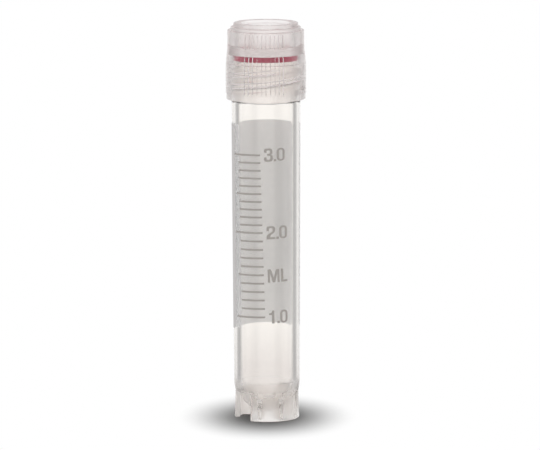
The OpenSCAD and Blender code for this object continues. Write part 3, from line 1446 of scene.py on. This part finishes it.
@dataclass
class VolumeScale:
    """The printed scale on the tube's front: its marks and their numbers."""

    art: Artwork
    low: float = 18.85
    pitch_low: float = 1.515
    pitch_high: float = 1.39
    half: int = 10
    stroke: float = 0.32
    end: float = -6.5
    tilt: float = 1.6
    long: float = 57.0
    middle: float = 50.5
    short: float = 44.0
    unit_drop: float = 7.75

    def __post_init__(self) -> None:
        """Works out the height in the middle of the scale and the radius there."""
        self.mid = self.low + self.half * self.pitch_low
        self.r = self.art.tube.wall_r(self.mid)

    def _height(self, index: int) -> float:
        """Finds the height of a mark.

        Args:
            index: the mark's number, from 0 at the bottom.

        Returns:
            Its height.
        """
        if index <= self.half:
            return self.low + index * self.pitch_low
        return self.mid + (index - self.half) * self.pitch_high

    def _tilted(self, flat: bpy.types.Object, x: float, z: float) -> bpy.types.Object:
        """Turns a flat piece with the whole scale, about the end of its middle mark.

        Args:
            flat: the piece, centred on the origin.
            x: where it goes, as a length round the tube from the front.
            z: the height that it goes to.

        Returns:
            The same piece.
        """
        turn = math.radians(self.tilt)
        start = self.r * math.radians(self.end - self.long / 2)
        down, side = z - self.mid, x - start
        place = (
            start + side * math.cos(turn) - down * math.sin(turn),
            0,
            self.mid + side * math.sin(turn) + down * math.cos(turn),
        )
        flat.location = Vector(place) * MM
        flat.rotation_euler.y = -turn
        return settle(flat)

    def marks(self) -> bpy.types.Object:
        """Models all the marks as one film.

        Returns:
            The film.
        """
        widths = [self.r * math.radians(reach) for reach in (self.long, self.middle, self.short)]
        models = [flat_bar(width, self.stroke) for width in widths]
        bars = []
        for index in range(2 * self.half + 1):
            kind = 2
            if index % self.half == 0:
                kind = 0
            elif index % (self.half // 2) == 0:
                kind = 1
            x = self.r * math.radians(self.end) - widths[kind] / 2
            bar = self._tilted(copied(models[kind]), x, self._height(index))
            bars.append(self.art.apply(bar))
        for model in models:
            bpy.data.objects.remove(model)
        film = joined(bars, "scale_marks_ink")
        return hand_over(film, Body.VIAL, Slot.SCALE, GREY_INK, "scale_marks")

    def words(self) -> list[bpy.types.Object]:
        """Models the numbers beside the long marks and the unit.

        Returns:
            Their films.
        """
        lines = (
            ("number_3", 3.83, self._height(2 * self.half), (THREE, POINT, ZERO)),
            ("number_2", 3.9, self._height(self.half), (TWO, POINT, ZERO)),
            ("unit_ml", 3.7, self.mid - self.unit_drop, (M, L)),
            ("number_1", 3.55, self._height(0), (ONE, POINT, ZERO)),
        )
        letters = dict.fromkeys(letter for *_, word in lines for letter in word)
        models = {letter: glyph(*letter.loops) for letter in letters}
        films = [self._word(*line, models) for line in lines]
        for model in models.values():
            bpy.data.objects.remove(model)
        return films

    def _word(
        self,
        name: str,
        width: float,
        z: float,
        letters: Sequence[Letter],
        models: dict[Letter, bpy.types.Object],
    ) -> bpy.types.Object:
        """Models one number or the unit as a film of ink that starts at the tube's front.

        Args:
            name: the piece's name.
            width: how far it reaches round the tube.
            z: height of its middle.
            letters: what it says.
            models: the flat piece to copy for each letter.

        Returns:
            The film.
        """
        spread = width / (sum(letter.advance for letter in letters) - letters[-1].gap)
        films, x = [], 0.0
        for letter in letters:
            flat = copied(models[letter])
            with editing(flat):
                pick_all()
                bpy.ops.transform.translate(value=(x * MM, 0, -LETTER_H / 2 * MM))
                scale_selected(spread, 1, 1)
            films.append(self.art.apply(self._tilted(flat, 0, z)))
            x += letter.advance
        return hand_over(joined(films, name), Body.VIAL, Slot.SCALE, GREY_INK)


@dataclass
class WritingPanel:
    """The panel of ink on the tube's back, white ink painted pale grey for shade."""

    art: Artwork
    low: float
    high: float
    start: float = 103.0
    wrap: float = 191.0
    corner: float = 1.2
    rows: int = 9
    row_h: float = 2.0

    def build(self) -> bpy.types.Object:
        """Models the panel with round corners, bent round the back.

        Returns:
            The film.
        """
        r = self.art.tube.wall_r((self.low + self.high) / 2)
        panel = flat_bar(r * math.radians(self.wrap), self.high - self.low)
        with editing(panel):
            pick_all()
            bpy.ops.mesh.bevel(affect="VERTICES", offset=self.corner * MM, segments=8, profile=0.5)
        for row in range(-self.rows, self.rows + 1):
            with editing(panel, "FACE"):
                pick_all()
                bpy.ops.mesh.bisect(plane_co=(0, 0, row * self.row_h * MM), plane_no=(0, 0, 1))
        panel.location.z = (self.low + self.high) / 2 * MM
        film = self.art.apply(panel)
        film.rotation_euler.z = math.radians(self.start + self.wrap / 2)
        settle(film)
        film.name = film.data.name = "writing_panel_ink"
        return hand_over(film, Body.VIAL, Slot.PANEL, PALE_INK, "writing_panel")


# ---------------------------------------------------------------- the studio


@dataclass
class Studio:
    """A white sweep with soft light from all round, and the camera.

    Its places, distance and floor are in metres, the floor's painted shadow in millimetres.
    """

    aim: Place = (0.00064, 0.0, 0.03465)
    distance: float = 0.96
    elevation: float = 8.3
    roll: float = 0.2
    lens: float = 359.0
    sensor: float = 36.0
    fill: float = 0.95
    corner: float = 0.42
    # The shadow round the foot is painted: shade is its darkest level, and it fades to white
    # between the two radii, stretched along Y.
    painted_shadow_inner: float = 2.5
    painted_shadow_outer: float = 16.5
    painted_shadow_stretch: float = 1.5
    shade: float = 0.13
    floor_r: float = 2.0
    floor_drop: float = 0.00002
    lamp_at: Place = (-0.35, -0.5, 0.7)
    lamp_size: float = 0.5
    lamp_power: float = 0.4
    clear_bounces: int = 24
    other_bounces: int = 12

    def build(self) -> None:
        """Sets up the world, the floor, the lamp and the camera."""
        self._world()
        self._floor()
        self._lamp()
        self._camera()
        scene = bpy.context.scene
        scene.view_settings.view_transform = "Standard"
        scene.cycles.max_bounces = scene.cycles.transmission_bounces = self.clear_bounces
        scene.cycles.glossy_bounces = scene.cycles.volume_bounces = self.other_bounces
        scene.cycles.blur_glossy = 0.0

    def _world(self) -> None:
        """White behind the object, with greyer corners that its clear walls bend and reflect."""
        world = bpy.context.scene.world or bpy.data.worlds.new("studio")
        bpy.context.scene.world = world
        world.use_nodes = True
        bench = NodeBench(world.node_tree)
        path = bench.add("LightPath").outputs
        shown = self._surround(bench, path, bench.add("TexCoord").outputs["Generated"])
        background = bench.add("Background", Color=shown, Strength=1.0)
        bench.add("OutputWorld", Surface=background.outputs[0])

    def _surround(self, bench: NodeBench, path: Sockets, way: Socket) -> Socket:
        """Adds the nodes for what is seen of the studio in one direction.

        Args:
            bench: the nodes of the world or the floor.
            path: the outputs of its Light Path node.
            way: the direction, as an output of a node.

        Returns:
            The colour there: white to the camera, greyer corners through and in clear pieces,
            and one plain level for light on matt ones.
        """
        shade = bench.add("Group", node_tree=surround_shade(), Direction=way)
        on_matt = bench.maths("MINIMUM", path["Diffuse Depth"], 1.0)
        through = bench.blend(shade.outputs[0], WHITE, (self.corner,) * 3)
        lit = bench.blend(on_matt, through, (self.fill,) * 3)
        return bench.blend(path["Is Camera Ray"], lit, WHITE)

    def _floor(self) -> None:
        """A white floor with a soft shadow painted round the foot, on a matt patch that also takes
        the vial's own faint shadow.
        """
        bpy.ops.object.select_all(action="DESELECT")
        bpy.ops.mesh.primitive_circle_add(vertices=64, radius=self.floor_r, fill_type="NGON")
        floor = bpy.context.object
        floor.name = "studio_floor"
        floor.location.z = -self.floor_drop
        settle(floor)
        material = bpy.data.materials.new("white_floor")
        material.use_nodes = True
        bench = NodeBench(material.node_tree)
        way = bench.add("TexCoord").outputs["Object"]
        path = bench.add("LightPath").outputs
        place = bench.vectors("MULTIPLY", way, (1, 1 / self.painted_shadow_stretch, 1)).outputs[0]
        # How far out the painted shadow has faded: 0 near the foot, 1 beyond it.
        near = bench.add(
            "MapRange",
            interpolation_type="SMOOTHSTEP",
            Value=bench.vectors("LENGTH", place).outputs["Value"],
            From_Min=self.painted_shadow_inner * MM,
            From_Max=self.painted_shadow_outer * MM,
        ).outputs[0]
        # The painted shadow's colour: dark at the foot, white away from it.
        painted_shadow = bench.blend(near, (self.shade,) * 3, WHITE)
        away = self._surround(bench, path, way)
        colour = bench.blend(path["Is Camera Ray"], away, painted_shadow)
        glow = bench.add("Emission", Color=colour, Strength=1.0).outputs[0]
        # The matt patch round the foot takes the painted shadow as its colour.
        matt = bench.add("BsdfDiffuse", Color=painted_shadow).outputs[0]
        shown = bench.layered(path["Is Camera Ray"], glow, bench.layered(near, matt, glow))
        bench.add("OutputMaterial", Surface=shown)
        floor.data.materials.append(material)

    def _lamp(self) -> None:
        """A large soft lamp over the front left."""
        lamp = bpy.data.lights.new("softbox", "AREA")
        lamp.shape, lamp.size, lamp.energy = "DISK", self.lamp_size, self.lamp_power
        stand = bpy.data.objects.new("softbox", lamp)
        stand.location = self.lamp_at
        aim = Vector(self.aim) - stand.location
        stand.rotation_euler = aim.to_track_quat("-Z", "Y").to_euler()
        bpy.context.scene.collection.objects.link(stand)

    def _camera(self) -> None:
        """The camera, a long lens a little above the cap."""
        data = bpy.data.cameras.new("camera")
        data.lens, data.sensor_width = self.lens, self.sensor
        camera = bpy.data.objects.new("camera", data)
        rise = math.radians(self.elevation)
        back = Vector((0, -math.cos(rise), math.sin(rise)))
        camera.location = Vector(self.aim) + back * self.distance
        camera.rotation_mode = "QUATERNION"
        turn = (-back).to_track_quat("-Z", "Y")
        camera.rotation_quaternion = turn @ Quaternion((0, 0, 1), math.radians(-self.roll))
        bpy.context.scene.collection.objects.link(camera)
        bpy.context.scene.camera = camera


def main() -> None:
    """Builds and dresses the vial."""
    logging.basicConfig(level=logging.INFO, format="%(message)s")
    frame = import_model()
    mouth = next(m for m in frame["record"]["mounts"] if m["name"] == "mouth")["dims"]
    tube_box, cap_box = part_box("tube"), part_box("cap")
    washer_box, panel_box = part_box("washer"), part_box("writing_panel")

    tube = VialTube(
        rim_z=tube_box[1].z / MM,
        neck_h=mouth["length_mm"],
        body_top_r=tube_box[1].x / MM,
        bore_top_r=mouth["r_mm"],
    )
    wall = tube.build()
    ScrewCap(
        low=cap_box[0].z / MM,
        top=cap_box[1].z / MM,
        grip_r=cap_box[1].x / MM,
        washer_r=washer_box[1].x / MM,
        washer_top=washer_box[1].z / MM,
    ).build()
    SealingWasher(washer_box[0].z / MM, washer_box[1].z / MM, washer_box[1].x / MM).build()
    art = Artwork(tube, wall)
    scale = VolumeScale(art)
    scale.marks()
    scale.words()
    WritingPanel(art, panel_box[0].z / MM, panel_box[1].z / MM).build()
    Studio().build()


if __name__ == "__main__":
    main()
